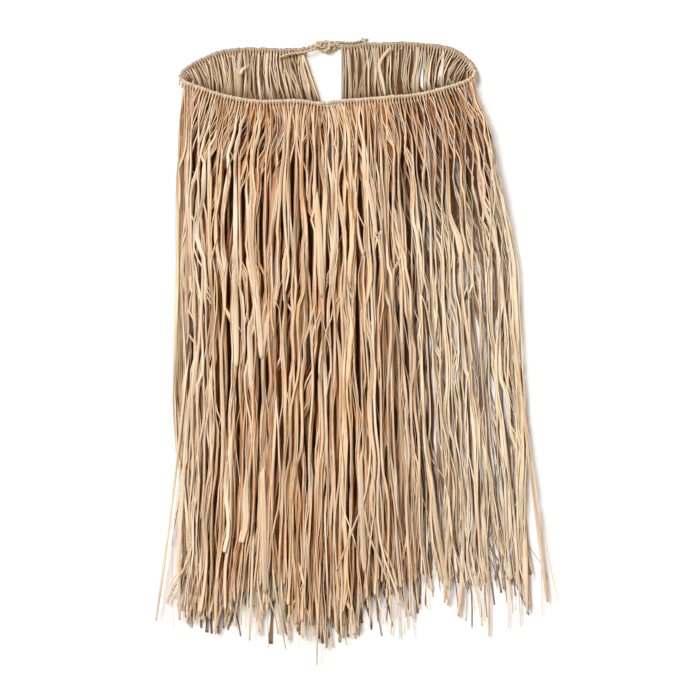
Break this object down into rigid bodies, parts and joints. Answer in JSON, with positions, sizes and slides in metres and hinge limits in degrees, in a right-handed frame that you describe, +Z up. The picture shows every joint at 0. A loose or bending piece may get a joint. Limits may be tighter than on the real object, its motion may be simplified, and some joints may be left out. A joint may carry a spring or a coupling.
{
  "type": "grass skirt laid flat",
  "caption": "Knee-length raffia skirt laid flat: ribbons hitched on a waist cord with an opened waist loop, a knotted back opening and a ragged hem.",
  "frame": {"origin": "on the surface that the skirt lies on, under the middle of its outline", "axes": "+Y from the hem to the waist, +X to the right seen from above, +Z up from the surface"},
  "size_m": [0.5226, 0.8163, 0.0212],
  "materials": {
    "cord": "twisted dry raffia",
    "raffia_front": "dry raffia ribbon, satin",
    "raffia_back": "dry raffia ribbon, satin"
  },
  "bodies": {
    "root": {"waist_cord": "cord", "back_knot": "cord", "tie_tail_left": "cord", "tie_tail_right": "cord", "back_left_lower": "raffia_back", "back_right_lower": "raffia_back", "back_left_upper": "raffia_back", "back_right_upper": "raffia_back", "front_lower_left": "raffia_front", "front_lower_middle": "raffia_front", "front_lower_right": "raffia_front", "front_upper_left": "raffia_front", "front_upper_middle": "raffia_front", "front_upper_right": "raffia_front"}
  },
  "joints": []
}
